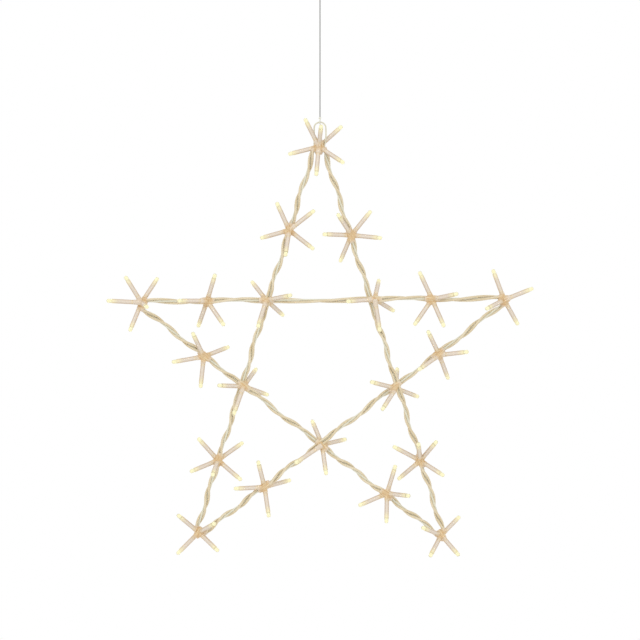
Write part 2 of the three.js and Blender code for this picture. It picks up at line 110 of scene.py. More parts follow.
class LampSizes(bpy.types.PropertyGroup):
    """Sizes of the lamps and of the moulded joints that hold them"""

    lamp_length: length("Lamp length", "From the joint's middle to the lens's tip", 0.038)
    sleeve_radius: length("Sleeve radius", "Outside of the sleeve", 0.00265)
    sleeve_wall: length("Sleeve wall", "Thickness of the sleeve", 0.00045)
    lens_radius: length("Lens radius", "Lens outside the sleeve", 0.0024)
    lens_length: length("Lens length", "Lens outside the sleeve", 0.006)
    lens_dome: length("Lens dome", "Height of the lens's round end", 0.0022)
    lens_seat: length("Lens seat", "Depth of the lens inside the sleeve", 0.0014)
    lens_play: length("Lens play", "Gap between the lens's seat and the sleeve", 0.000055)
    lens_step: length("Lens step", "Height over which the seat widens to the lens", 0.00044)
    glow_radius: length("Glow radius", "Bright body inside the lens", 0.0014)
    glow_length: length("Glow length", "Bright body inside the lens", 0.0046)
    glow_drop: length("Glow drop", "From the lens's middle down to the bright body's", 0.000275)
    lead_radius: length("Lead radius", "Insulated lead inside the sleeve", 0.00048)
    lead_spread: length("Lead spread", "From the lamp's axis to each lead, at the lens", 0.0015)
    lead_root_share: share("Lead root share", "Leads' spread at the root, as a share of that", 0.8)
    joint_wall: length("Joint wall", "Moulded joint outside the wound wire", 0.0009)
    joint_length: length("Joint length", "Moulded joint on a wire", 0.018)
    spindle_share: share("Spindle share", "Width of a joint's spindle, as a share of the joint's", 0.8)
    spindle_end_share: share("Spindle end share", "Width of a spindle's ends, as a share of it", 0.72)
    tip_joint_radius: length("Tip joint radius", "Moulded joint at a tip", 0.0058)
    tip_joint_length: length("Tip joint length", "Moulded joint at a tip", 0.014)
    top_joint_radius: length("Top joint radius", "Moulded joint at the top", 0.0068)
    top_joint_length: length("Top joint length", "Moulded joint at the top", 0.019)
    socket_length: length("Socket length", "Tip joint's socket round the end of a wound wire", 0.005)
    socket_lap: length("Socket lap", "Part of a socket that lies round the wound wire", 0.002)
    socket_wall: length("Socket wall", "Socket outside the strands", 0.0005)
    root_reach: length("Root reach", "Where a sleeve passes the wound wire", 0.0093)
    sleeve_root: length("Sleeve root", "Start of a sleeve, from the lamps' meeting place", 0.0045)
    collar_length: length("Collar length", "Root of a sleeve, from the lamps' meeting place", 0.0088)
    collar_wall: length("Collar wall", "Joint round the root of a sleeve", 0.0003)
    joint_grain: length("Joint grain", "Cell of the remeshed joint", 0.00042)
    lamp_sides: count("Lamp sides", "Sides of sleeves and lenses", 20)
    lead_sides: count("Lead sides", "Sides of a lead", 8)
    bore_sides: count("Bore sides", "Sides of the joint's bore", 8)


class CordSizes(bpy.types.PropertyGroup):
    """Sizes of the hanging cord, its knots and its loops"""

    cord_radius: length("Cord radius", "Hanging cord", 0.0008)
    cord_drop: length("Cord drop", "From the hook to the hanging eye", 0.18)
    hook_loop_length: length("Hook loop length", "Upper loop, down to its knot", 0.022)
    hook_loop_width: length("Hook loop width", "Upper loop over the cord", 0.009)
    knot_radius: length("Knot radius", "Both knots", 0.0019)
    knot_length: length("Knot length", "Knot under the upper loop", 0.0046)
    ply_lay: length("Ply lay", "Length of one turn of the cord's plies", 0.0042)
    cord_step: length("Cord step", "Spacing of the rings along the cord", 0.00035)
    knot_grain: length("Knot grain", "Cell of the remeshed knots", 0.00012)


class StarColours(bpy.types.PropertyGroup):
    """Colours of the star's materials"""

    coating: colour("Coating", "Cream coating of the frame wire", "#e0dcc6")
    jacket: colour("Jacket", "Clear jacket of the strands", "#f3e7ca")
    core: colour("Core", "Copper strands inside the jacket", "#dfcba2")
    sleeve: colour("Sleeve", "Milky sleeve of a lamp", "#f0e3d2")
    # Lead also darkens each sleeve towards its sides: partly the leads seen through it, partly painted
    # shade at the tube's edges
    lead: colour("Lead", "Leads inside a sleeve", "#d6bd9f")
    lens: colour("Lens", "Tinted lens of a lamp", "#edeacd")
    # Glow also colours the faint glow painted on each sleeve near its lens, and the next colour is the
    # warm tint painted there: both are painted light for the lamp's light inside the sleeve
    glow: colour("Glow", "Light of a lamp", "#fff8d0")
    painted_glow_tint: colour("Warmth", "Sleeve where the lamp's light fills it", "#f1e7c0")
    joint: colour("Joint", "Clear amber plastic of the moulded joints", "#f8e4ba")
    streak: colour("Streak", "Copper leads that show through a joint", "#d6a86c")
    cord: colour("Cord", "Hanging cord", "#a6a6a4")
    tie: colour("Tie", "Heat-sealed knots and ring of the cord", "#e9e9dc")
    backdrop: colour("Backdrop", "Floor and background", "#ffffff")


# Tips of the star. Across is a share of the star's width from the cord's line, down a share of its
# height. Leaving and arriving are how far the tip's two wires pass from its middle, as shares of the
# wound wire's radius.
TIP_SHARES = {
    "top": {"across": -0.0033, "down": 0, "leaving": 1.18, "arriving": 1.32},
    "left": {"across": -0.4921, "down": 0.4031, "leaving": 1.31, "arriving": 0.36},
    "right": {"across": 0.5079, "down": 0.3958, "leaving": 0.52, "arriving": 0.83},
    "left_foot": {"across": -0.3339, "down": 0.9974, "leaving": 1.02, "arriving": 0.83},
    "right_foot": {"across": 0.3342, "down": 1.0047, "leaving": 0.86, "arriving": 0.4},
}

# The wires in the order in which one drawn line would make the star. A wire crosses the one two places
# further on first, and then the one three places further on.
BAR_TIPS = (
    ("top", "left_foot"),
    ("left_foot", "right"),
    ("right", "left"),
    ("left", "right_foot"),
    ("right_foot", "top"),
)
LEVEL_BAR = 2
CROSSING_STEPS = (2, 3)

# Turns of the pair of strands: it lies outside the star at a tip, before the wire at its first crossing
# and behind it at the second. So between these places it makes whole turns, and these shares of one.
TURN_SHARES = {"at_tip": 0.5, "to_crossing": 0.25, "between_crossings": 0.5}

# Clusters on the wires: the wire, how far along it as a share of its length, and how far the lamps'
# meeting place is beside it as a share of the joint's radius
ARM_JOINT_SHARES = {
    "upper_left": (0, 0.2174, -0.02),
    "upper_right": (4, 0.7708, -0.17),
    "left_arm_upper": (2, 0.8197, 0),
    "left_arm_lower": (3, 0.2142, -0.26),
    "right_arm_upper": (2, 0.1978, 0.08),
    "right_arm_lower": (1, 0.7793, -0.45),
    "left_leg_outer": (0, 0.8164, -0.11),
    "right_leg_outer": (4, 0.189, 0.09),
    "left_leg_inner": (1, 0.2058, -0.15),
    "right_leg_inner": (3, 0.8199, 0.35),
}

# Clusters at crossings: the wire, which of its crossings, and how far the joint is past it and the
# lamps' meeting place beside the wire, as shares of the joint's radius
CROSSING_JOINT_SHARES = {
    "crossing_left": (2, 1, 0.3, -0.02),
    "crossing_right": (2, 0, -0.93, -0.05),
    "crossing_lower_left": (3, 0, 0.58, -0.12),
    "crossing_lower_right": (1, 1, -0.69, -0.45),
    "crossing_bottom": (3, 1, 0.52, 0.15),
}

# Clusters at the tips, and the tip that each sits on
TIP_CLUSTERS = {
    "top": "top",
    "left_tip": "left",
    "right_tip": "right",
    "left_foot": "left_foot",
    "right_foot": "right_foot",
}

# Each lamp: its angle in degrees from +X and its reach as a share of its length, both as seen from the
# front, and whether it leans forward (1) or back (-1)
LAMP_SHARES = {
    "top": ((117, 0.98, 1), (42, 1, -1), (194, 1, -1), (-34, 0.97, 1), (265, 0.95, 1), (83, 0.63, 1)),
    "left_tip": ((121, 0.97, 1), (58, 0.94, -1), (177, 1.1, 1), (248, 0.99, 1), (-33, 0.28, 1)),
    "right_tip": ((110.5, 1.03, -1), (22, 0.97, 1), (-59.5, 0.93, -1), (206, 0.69, 1)),
    "left_foot": ((138, 0.89, 1), (225, 1, -1), (-41, 0.84, 1), (33, 0.65, 1)),
    "right_foot": ((42, 0.83, -1), (238, 0.73, 1), (-48, 0.8, 1), (154.5, 0.7, 1)),
    "upper_left": ((114.5, 0.96, 1), (38, 1.03, 1), (195, 0.96, -1), (-38, 1, -1), (262, 0.85, 1)),
    "upper_right": ((124, 0.79, 1), (51, 1, -1), (179, 0.91, 1), (-6, 0.97, 1), (247, 0.92, -1)),
    "left_arm_upper": ((72, 0.89, 1), (180, 0.92, 1), (249.5, 0.89, -1), (-55, 0.97, 1)),
    "left_arm_lower": ((113.5, 0.84, 1), (21.5, 0.85, -1), (190, 1.03, 1), (264, 1, 1)),
    "right_arm_upper": ((115.5, 0.97, 1), (12, 0.81, 1), (235.6, 1.01, -1), (-67, 0.96, 1)),
    "right_arm_lower": ((116.5, 0.87, 1), (7, 0.91, 1), (-68, 0.84, -1), (214, 0.84, 1)),
    "crossing_left": ((128.5, 0.78, -1), (11, 0.83, 1), (-42.5, 0.73, -1), (253, 0.91, 1)),
    "crossing_right": ((76.5, 0.65, -1), (185, 0.91, 1), (-31, 0.74, -1), (-81, 1.05, 1)),
    "crossing_lower_left": ((55, 0.68, -1), (177, 0.8, 1), (-21, 0.83, -1), (251, 0.94, 1)),
    "crossing_lower_right": ((165, 0.85, 1), (84, 0.63, -1), (-21.5, 0.8, -1), (236, 0.82, 1)),
    "crossing_bottom": ((113, 0.83, -1), (11, 0.79, -1), (-82, 0.95, 1), (214, 1.05, 1)),
    "left_leg_outer": ((131, 0.95, 1), (35, 0.97, -1), (202, 0.94, 1), (-40, 0.98, 1), (252, 0.47, 1)),
    "right_leg_outer": ((152, 0.99, 1), (52, 0.82, 1), (221.5, 0.94, -1), (-32, 0.86, 1), (98.6, 0.6, 1)),
    "left_leg_inner": ((103, 0.88, 1), (182, 0.96, 1), (13, 0.85, -1), (-81, 0.95, 1)),
    "right_leg_inner": ((74, 0.95, 1), (-3, 0.7, 1), (268, 0.91, 1), (204, 0.99, -1)),
}

# Where a cluster sits: its joint's middle, its lamps' meeting place, the direction of its wire, the
# joint's radius, depth and length, and how far the wound wires reach from the joint's middle
Seat = namedtuple("Seat", "centre meeting along radius depth_radius joint_length room")

# The studio's soft lights: a large key from the upper left and a weaker fill from the right
STUDIO_LIGHTS = (
    {"name": "key_light", "place": (-1.1, -1.8, 0.9), "size": 1.4, "watts": 9.0},
    {"name": "fill_light", "place": (1.5, -1.6, -0.2), "size": 1.6, "watts": 4.0},
)


# The star's outline and its wound wires


def square_to(along):
    """A direction in the star's plane, square to another one there."""
    return Vector((-along.z, 0, along.x))


class Layout:
    """Places of the tips and of the wound wires, worked out from the sizes."""

    def __init__(self, scene):
        sizes = self.sizes = scene.star_sizes
        lamps = scene.lamp_sizes
        self.cord_drop = scene.cord_sizes.cord_drop
        self.top_z = -self.cord_drop - sizes.eye_height
        self.orbit = sizes.wire_radius + sizes.clearance + sizes.strand_radius
        self.bundle_radius = self.orbit + sizes.strand_radius
        self.bore_radius = self.bundle_radius + sizes.clearance
        self.joint_radius = self.bore_radius / math.cos(math.pi / lamps.bore_sides) + lamps.joint_wall
        self.weave = sizes.wire_radius + sizes.clearance / 2
        self.hold_half = self.joint_radius + self.bore_radius + self.bundle_radius
        self.pair_angle = 2 * math.pi * sizes.pair_share
        room = sizes.strand_radius + sizes.clearance
        half_width = self.orbit * math.sin(self.pair_angle) + room
        self.crossing_reach = self.weave + self.orbit * math.cos(self.pair_angle) + room
        narrowed = math.sqrt(1 - (half_width / self.joint_radius) ** 2)
        self.crossing_joint_radius = self.crossing_reach / narrowed + lamps.joint_wall
        self.tips = {
            name: Vector((
                shares["across"] * sizes.star_width, 0, self.top_z - shares["down"] * sizes.star_height
            ))
            for name, shares in TIP_SHARES.items()
        }
        self.bars = [Bar(self, number) for number in range(len(BAR_TIPS))]
        for number, bar in enumerate(self.bars):
            others = (self.bars[(number + step) % len(self.bars)] for step in CROSSING_STEPS)
            bar.settle([bar.crossing_distance(other) for other in others])

    def direction(self, tip, other):
        """Direction from one tip to another."""
        return (self.tips[other] - self.tips[tip]).normalized()

    def tip_middle(self, tip):
        """Middle line of the two wires that meet at a tip."""
        middle = Vector()
        for pair in BAR_TIPS:
            if tip in pair:
                middle += self.direction(tip, pair[1 - pair.index(tip)])
        return middle.normalized()

    def wire_place(self, tip, other):
        """Where the wire between this tip and another one passes this one."""
        sideways = square_to(self.tip_middle(tip))
        side = math.copysign(1, self.direction(tip, other).dot(sideways))
        apart = TIP_SHARES[tip]["leaving" if (tip, other) in BAR_TIPS else "arriving"]
        return self.tips[tip] + sideways * side * apart * self.bundle_radius


class Bar:
    """A wire with its two strands, woven in front of one neighbour and behind the other."""

    def __init__(self, layout, number):
        first, last = BAR_TIPS[number]
        self.layout = layout
        self.number = number
        self.start = layout.wire_place(first, last)
        end = layout.wire_place(last, first)
        self.along = (end - self.start).normalized()
        self.across = square_to(self.along)
        self.length = (end - self.start).length

    def crossing_distance(self, other):
        """How far along this wire the other one crosses it."""
        between = other.start - self.start
        turn = self.along.x * other.along.z - self.along.z * other.along.x
        return (between.x * other.along.z - between.z * other.along.x) / turn

    def settle(self, crossings):
        """Set the crossings, and the strands' turns over each stretch between tips and crossings."""
        sizes = self.layout.sizes
        level = self.number == LEVEL_BAR
        lay = sizes.level_lay if level else sizes.strand_lay
        middle_lay = sizes.level_middle_lay if level else sizes.strand_lay
        hold = self.layout.hold_half
        first, second = crossings
        stretches = (
            (sizes.bar_inset, first - hold, lay, TURN_SHARES["to_crossing"]),
            (first + hold, second - hold, middle_lay, TURN_SHARES["between_crossings"]),
            (second + hold, self.length - sizes.bar_inset, lay, TURN_SHARES["to_crossing"]),
        )
        self.crossings = crossings
        self.stretches = [
            (start, end - start, max(0, round((end - start) / turn - part)) + part)
            for start, end, turn, part in stretches
        ]

    def depth(self, distance):
        """Forward at the first crossing and back at the second."""
        hold = self.layout.hold_half
        reach = (self.crossings[1] - self.crossings[0]) / 2
        swells = []
        for crossing in self.crossings:
            away = max(0, abs(distance - crossing) - hold) / (reach - hold)
            swells.append((1 + math.cos(math.pi * away)) / 2 if away < 1 else 0)
        return self.layout.weave * (swells[1] - swells[0])

    def angle(self, distance):
        """Turn of the strands round the wire."""
        turns = TURN_SHARES["at_tip"]
        for start, stretch, amount in self.stretches:
            turns += amount * min(1, max(0, (distance - start) / stretch))
        return 2 * math.pi * turns

    def point(self, distance, orbit=0.0, phase=0.0):
        """A point on the wire, or on a strand that runs round it."""
        angle = self.angle(distance) + phase
        place = self.start + self.along * distance + self.across * orbit * math.cos(angle)
        place.y += self.depth(distance) + orbit * math.sin(angle)
        return place

    def line(self, orbit=0.0, phase=0.0):
        """Points from one end of the wire to the other."""
        sizes = self.layout.sizes
        reach = self.length - 2 * sizes.bar_inset
        steps = round(reach / sizes.tube_step)
        return [self.point(sizes.bar_inset + reach * i / steps, orbit, phase) for i in range(steps + 1)]


# Shapes


def basis(x_axis, y_axis, z_axis, place):
    """The matrix of three axes and a place."""
    matrix = Matrix((x_axis, y_axis, z_axis)).transposed().to_4x4()
    matrix.translation = place
    return matrix


def frames_along(points, twist=0.0, closed=False):
    """Frames along a line of points, with Z along it. They turn once in each twist length, if one is
    given. A closed line's last point comes just before its first, and its frames meet without a step."""
    count = len(points)
    frames = []
    side = None
    for i in range(count + closed):
        before = points[(i - 1) % count if closed else max(i - 1, 0)]
        after = points[(i + 1) % count if closed else min(i + 1, count - 1)]
        ahead = (after - before).normalized()
        side = ahead.orthogonal() if side is None else side
        side = (side - ahead * side.dot(ahead)).normalized()
        frames.append(basis(side, ahead.cross(side), ahead, points[i % count]))
    gone = [0.0]
    for a, b in zip(frames, frames[1:]):
        gone.append(gone[-1] + (b.translation - a.translation).length)
    turns = gone[-1] / twist if twist else 0.0
    if closed:
        first, last = frames[0], frames.pop()
        slip = math.atan2(last.col[0].dot(first.col[1]), last.col[0].dot(first.col[0]))
        turns = round(turns) - slip / (2 * math.pi)
    return [
        here @ Matrix.Rotation(2 * math.pi * turns * reach / gone[-1], 4, "Z")
        for here, reach in zip(frames, gone)
    ]


def smooth_line(points, step):
    """Points at even steps on a smooth curve through a few given ones."""
    ends = [2 * points[0] - points[1], *points, 2 * points[-1] - points[-2]]
    line = []
    for a, b, c, d in zip(ends, ends[1:], ends[2:], ends[3:]):
        parts = max(1, round((c - b).length / step))
        for i in range(parts):
            t = i / parts
            line.append(0.5 * (
                2 * b + (c - a) * t + (2 * a - 5 * b + 4 * c - d) * t ** 2
                + (3 * b - a - 3 * c + d) * t ** 3
            ))
    line.append(points[-1].copy())
    return line


def only(kind, geometry):
    """The vertices, edges or faces among what an operator returns."""
    return [item for item in geometry if isinstance(item, kind)]


def ring_edges(ring):
    """The edges that run round a ring of vertices, each once and in the ring's order."""
    members = set(ring)
    edges = (edge for vert in ring for edge in vert.link_edges if members.issuperset(edge.verts))
    return list(dict.fromkeys(edges))


def sweep(bm, frames, radius, sides, material=0, closed=False, lobes=(0, 0.0)):
    """A tube: a ring of edges drawn from frame to frame, its ends capped, or joined if it is closed.
    Lobes are a number and a depth as a share of the radius, for a section like that of twisted plies.
    If the mesh has a tube_place layer, each vertex notes its place across and along the tube there."""
    known = set(bm.faces)
    place_here = bm.verts.layers.float_vector.get("tube_place")
    ring = bmesh.ops.create_circle(bm, cap_ends=not closed, radius=radius, segments=sides)["verts"]
    number, depth = lobes
    for vert in ring:
        angle = math.atan2(vert.co.y, vert.co.x)
        vert.co *= 1 - depth * (1 - abs(math.cos(number * angle / 2)))
    if place_here:
        for vert in ring:
            vert[place_here] = vert.co
    bmesh.ops.transform(bm, matrix=frames[0], verts=ring)
    first_edges = edges = ring_edges(ring)
    for before, after in zip(frames, frames[1:]):
        ring = only(bmesh.types.BMVert, bmesh.ops.extrude_edge_only(bm, edges=edges)["geom"])
        edges = ring_edges(ring)
        step = (after.translation - before.translation).length
        if place_here:
            for vert in ring:
                vert[place_here] = vert[place_here] + Vector((0, 0, step))
        bmesh.ops.transform(bm, matrix=after @ before.inverted(), verts=ring)
    if closed:
        bmesh.ops.bridge_loops(bm, edges=first_edges + edges)
    else:
        bmesh.ops.holes_fill(bm, edges=edges, sides=sides)
    for face in bm.faces:
        if face not in known:
            face.material_index = material


def lathe(bm, profile, sides, closed=False):
    """A turned form about Z from a profile of (radius, height) points; returns its vertices."""
    known = set(bm.verts)
    points = [bm.verts.new((radius, 0, height)) for radius, height in profile]
    pairs = list(zip(points, points[1:])) + ([(points[-1], points[0])] if closed else [])
    edges = [bm.edges.new(pair) for pair in pairs]
    bmesh.ops.spin(
        bm,
        geom=points + edges,
        cent=(0, 0, 0),
        axis=(0, 0, 1),
        angle=2 * math.pi,
        steps=sides,
        use_merge=True,
    )
    made = [v for v in bm.verts if v not in known]
    bmesh.ops.remove_doubles(bm, verts=made, dist=MERGE_DISTANCE)
    return [v for v in bm.verts if v not in known]


def melted(bm, grain):
    """The parts of a shape run together to one skin, softened where its grain makes steps."""
    mesh = bpy.data.meshes.new("melt")
    bm.to_mesh(mesh)
    bm.free()
    holder = bpy.data.objects.new("melt", mesh)
    bpy.context.scene.collection.objects.link(holder)
    melt = holder.modifiers.new("melt", "REMESH")
    melt.mode = "VOXEL"
    melt.voxel_size = grain
    soften = holder.modifiers.new("soften", "SMOOTH")
    soften.factor = 0.6
    soften.iterations = 3
    skin = bmesh.new()
    skin.from_object(holder, bpy.context.evaluated_depsgraph_get())
    bpy.data.objects.remove(holder)
    bpy.data.meshes.remove(mesh)
    return skin


def piece(name, bm, materials, body, nodes):
    """Make an object of a finished shape, put it on its body and let it stand for its nodes."""
    bmesh.ops.recalc_face_normals(bm, faces=bm.faces)
    for face in bm.faces:
        face.smooth = True
    mesh = bpy.data.meshes.new(name)
    bm.to_mesh(mesh)
    bm.free()
    for material in materials:
        mesh.materials.append(material)
    made = bpy.data.objects.new(name, mesh)
    bpy.context.scene.collection.objects.link(made)
    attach(made, body)
    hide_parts(*nodes)
    return made


# Materials


def add_node(tree, kind, settings=None, inputs=None):
    """Add a node, set its values and sockets, and link the sockets that are given as outputs."""
    node = tree.nodes.new(kind)
    for name, value in (settings or {}).items():
        setattr(node, name, value)
    for name, value in (inputs or {}).items():
        if isinstance(value, bpy.types.NodeSocket):
            tree.links.new(value, node.inputs[name])
        else:
            node.inputs[name].default_value = value
    return node


def new_material(name):
    """An empty material and its node tree."""
    material = bpy.data.materials.get(name) or bpy.data.materials.new(name)
    material.use_nodes = True
    material.node_tree.nodes.clear()
    return material, material.node_tree


def rgba(value, factor=1.0):
    """A colour with full alpha, darkened or lightened by a factor."""
    return (*(min(1.0, channel * factor) for channel in value), 1.0)


def drifting_colour(tree, size, dark, light, streaks=None):
    """Noise over a real size in metres, and a colour that drifts between two values with it. Streaks are
    the name of an attribute that holds a place, and a width: the noise is drawn out along Z there."""
    if streaks:
        attribute, width = streaks
        place = add_node(tree, "ShaderNodeAttribute", {"attribute_name": attribute}).outputs["Vector"]
        drawn = add_node(tree, "ShaderNodeMapping", inputs={
            "Vector": place, "Scale": (size / width, size / width, 1),
        })
        place = drawn.outputs["Vector"]
    else:
        place = add_node(tree, "ShaderNodeTexCoord").outputs["Object"]
    noise = add_node(
        tree,
        "ShaderNodeTexNoise",
        {"noise_dimensions": "3D"},
        {"Vector": place, "Scale": 1 / size, "Detail": 3.0, "Roughness": 0.55},
    )
    ramp = add_node(tree, "ShaderNodeValToRGB", inputs={"Fac": noise.outputs["Fac"]})
    for stop, position, value in zip(ramp.color_ramp.elements, (0.3, 0.7), (dark, light)):
        stop.position = position
        stop.color = value
    return noise.outputs["Fac"], ramp.outputs["Color"]


def patterned_material(name, size, dark, light, finish, streaks=None, relief=None):
    """A whole material: a drifting colour, and a finish, which holds the shader's own values. A relief
    is the strength, and the depth in metres, with which the same noise shapes the surface."""
    material, tree = new_material(name)
    noise, tint = drifting_colour(tree, size, dark, light, streaks)
    sockets = {"Base Color": tint, **finish}
    if relief:
        strength, depth = relief
        bump = add_node(tree, "ShaderNodeBump", inputs={
            "Strength": strength, "Distance": depth, "Height": noise,
        })
        sockets["Normal"] = bump.outputs["Normal"]
    shader = add_node(tree, "ShaderNodeBsdfPrincipled", inputs=sockets)
    add_node(tree, "ShaderNodeOutputMaterial", inputs={"Surface": shader.outputs["BSDF"]})
    return material


def coated_wire():
    """Steel wire, dip coated in cream enamel: satin, with slight thick and thin places."""
    coating = bpy.context.scene.star_colours.coating
    return patterned_material(
        "cream_coated_steel_wire",
        size=0.006,
        dark=rgba(coating, 0.94),
        light=rgba(coating, 1.04),
        relief=(0.25, 0.0002),
        finish={"Roughness": 0.38},
    )


def strand_jacket():
    """Soft clear PVC, extruded: a milky gloss over the copper, which shows through as golden streaks."""
    colours = bpy.context.scene.star_colours
    return patterned_material(
        "clear_pvc_jacket",
        size=0.016,
        dark=rgba(colours.core),
        light=rgba(colours.jacket),
        streaks=("tube_place", 0.0018),
        relief=(0.2, 0.0001),
        finish={"Roughness": 0.25, "IOR": 1.53, "Transmission Weight": 0.1},
    )


def strand_core():
    """Fine tinned copper wires, bunched: warm and dull, drawn as streaks, the darker ones painted shade
    in the gaps between the wires.
    """
    core = bpy.context.scene.star_colours.core
    return patterned_material(
        "bunched_copper_core",
        size=0.006,
        # Painted shade: the darker streaks stand for shade in the gaps between the fine wires
        dark=rgba(core, 0.85),
        light=rgba(core, 1.08),
        streaks=("tube_place", 0.0004),
        finish={"Metallic": 0.15, "Roughness": 0.45},
    )


def lamp_sleeve():
    """Milky translucent PVC sleeve, with painted light near the lens: a warm tint and a faint painted
    glow, which fade towards the root, stand in for the lamp's light inside it. It is darker towards its
    sides in the star's plane, partly for the two leads inside and partly as painted shade at the tube's
    edges."""
    colours = bpy.context.scene.star_colours
    material, tree = new_material("milky_pvc_sleeve")
    share_here = add_node(tree, "ShaderNodeAttribute", {"attribute_name": "lamp_share"}).outputs["Fac"]
    lead_and_shade_here = add_node(tree, "ShaderNodeAttribute", {"attribute_name": "lead_and_edge_shade"}).outputs["Fac"]
    tint = add_node(tree, "ShaderNodeValToRGB", inputs={"Fac": share_here})
    stops = tint.color_ramp.elements
    stops[0].position = 0.2
    stops[0].color = rgba(colours.joint)
    stops[1].position = 0.34
    stops[1].color = rgba(colours.sleeve)
    stops.new(0.6).color = rgba(colours.sleeve)
    # Painted light: the sleeve turns to a warm tint towards the lens, for the lamp's light inside it
    stops.new(0.82).color = rgba(colours.painted_glow_tint)
    # Painted glow: the sleeve itself emits faintly near the lens, though it is no lamp
    glow = add_node(
        tree, "ShaderNodeMapRange", {"interpolation_type": "SMOOTHSTEP"},
        {"Value": share_here, "From Min": 0.62, "From Max": 0.86, "To Min": 0.0, "To Max": 0.11},
    )
    # Darker towards the sleeve's sides in the star's plane: partly the leads seen through it, partly
    # painted shade at the tube's edges
    leads = add_node(
        tree, "ShaderNodeMapRange", {"interpolation_type": "SMOOTHSTEP"},
        {"Value": lead_and_shade_here, "From Min": 0.3, "From Max": 0.9, "To Min": 0.0, "To Max": 0.55},
    )
    shown = add_node(tree, "ShaderNodeMix", {"data_type": "RGBA", "blend_type": "MULTIPLY"}, {
        0: leads.outputs["Result"], 6: tint.outputs["Color"], 7: rgba(colours.lead),
    })
    shader = add_node(tree, "ShaderNodeBsdfPrincipled", inputs={
        "Base Color": shown.outputs[2],
        "Roughness": 0.35,
        "IOR": 1.5,
        "Transmission Weight": 0.12,
        "Emission Color": rgba(colours.glow),
        "Emission Strength": glow.outputs["Result"],
    })
    add_node(tree, "ShaderNodeOutputMaterial", inputs={"Surface": shader.outputs["BSDF"]})
    return material


def lamp_lead():
    """Thin leads in a tan jacket, seen through the sleeve."""
    lead = bpy.context.scene.star_colours.lead
    return patterned_material(
        "tan_lead",
        size=0.003,
        dark=rgba(lead, 0.92),
        light=rgba(lead, 1.06),
        finish={"Roughness": 0.45},
    )


def lamp_lens():
    """Warm-tinted cast epoxy: glassy, with a darker rim round the bright body that shows through."""
    colours = bpy.context.scene.star_colours
    return patterned_material(
        "tinted_epoxy_lens",
        size=0.004,
        dark=rgba(colours.lens, 0.96),
        light=rgba(colours.lens),
        finish={
            "Roughness": 0.2,
            "IOR": 1.52,
            "Transmission Weight": 0.5,
            "Emission Color": rgba(colours.glow),
            "Emission Strength": 0.05,
        },
    )


def lamp_glow():
    """The lit phosphor body inside a lens: warm white and even."""
    glow = bpy.context.scene.star_colours.glow
    return patterned_material(
        "warm_phosphor_glow",
        size=0.001,
        dark=rgba(glow, 0.4),
        light=rgba(glow, 0.45),
        finish={"Roughness": 0.6, "Emission Color": rgba(glow), "Emission Strength": 0.9},
    )


def moulded_joint():
    """Amber-tinted soft PVC, overmoulded on the string: clear at its rim, with the copper leads inside
    it drawn as streaks along the wire."""
    colours = bpy.context.scene.star_colours
    material, tree = new_material("amber_overmoulded_pvc")
    inside = add_node(tree, "ShaderNodeAttribute", {"attribute_name": "joint_place"}).outputs["Vector"]
    noise, amber = drifting_colour(
        tree,
        size=0.01,
        dark=rgba(colours.streak),
        light=rgba(colours.joint),
        streaks=("joint_place", 0.0014),
    )
    away = add_node(tree, "ShaderNodeVectorMath", {"operation": "LENGTH"}, {0: inside})
    rim = add_node(tree, "ShaderNodeMapRange", {"interpolation_type": "SMOOTHSTEP"}, {
        "Value": away.outputs["Value"],
        "From Min": 0.006,
        "From Max": 0.0105,
        "To Min": 0.0,
        "To Max": 0.8,
    })
    tint = add_node(tree, "ShaderNodeMix", {"data_type": "RGBA"}, {
        0: rim.outputs["Result"], 6: amber, 7: rgba(colours.sleeve),
    })
    bump = add_node(tree, "ShaderNodeBump", inputs={
        "Strength": 0.25, "Distance": 0.0003, "Height": noise,
    })
    shader = add_node(tree, "ShaderNodeBsdfPrincipled", inputs={
        "Base Color": tint.outputs[2],
        "Roughness": 0.3,
        "IOR": 1.5,
        "Transmission Weight": 0.12,
        "Normal": bump.outputs["Normal"],
    })
    add_node(tree, "ShaderNodeOutputMaterial", inputs={"Surface": shader.outputs["BSDF"]})
    return material


def polyester(name, tint, roughness):
    """Polyester fibre, with a fine grain."""
    return patterned_material(
        name,
        size=0.0007,
        dark=rgba(tint, 0.9),
        light=rgba(tint, 1.08),
        relief=(0.4, 0.0001),
        finish={"Roughness": roughness, "Sheen Weight": 0.2},
    )


def twisted_cord():
    """Twisted polyester cord, pale grey and matt."""
    return polyester("twisted_polyester_cord", bpy.context.scene.star_colours.cord, roughness=0.8)


def sealed_cord():
    """The same cord where it is tied and sealed with heat: paler and smoother."""
    return polyester("heat_sealed_polyester", bpy.context.scene.star_colours.tie, roughness=0.45)


def paper_floor():
    """Matt white paper."""
    backdrop = bpy.context.scene.star_colours.backdrop
    return patterned_material(
        "white_paper_floor",
        size=0.02,
        dark=rgba(backdrop, 0.985),
        light=rgba(backdrop),
        finish={"Roughness": 0.9},
    )


def background_rays(tree):
    """1 for rays that should see the white background: camera, glossy and transmission rays."""
    path = add_node(tree, "ShaderNodeLightPath")
    total = path.outputs["Is Camera Ray"]
    for name in ("Is Glossy Ray", "Is Transmission Ray"):
        total = add_node(
            tree, "ShaderNodeMath", {"operation": "MAXIMUM"}, {0: total, 1: path.outputs[name]}
        ).outputs[0]
    return total


# Operators


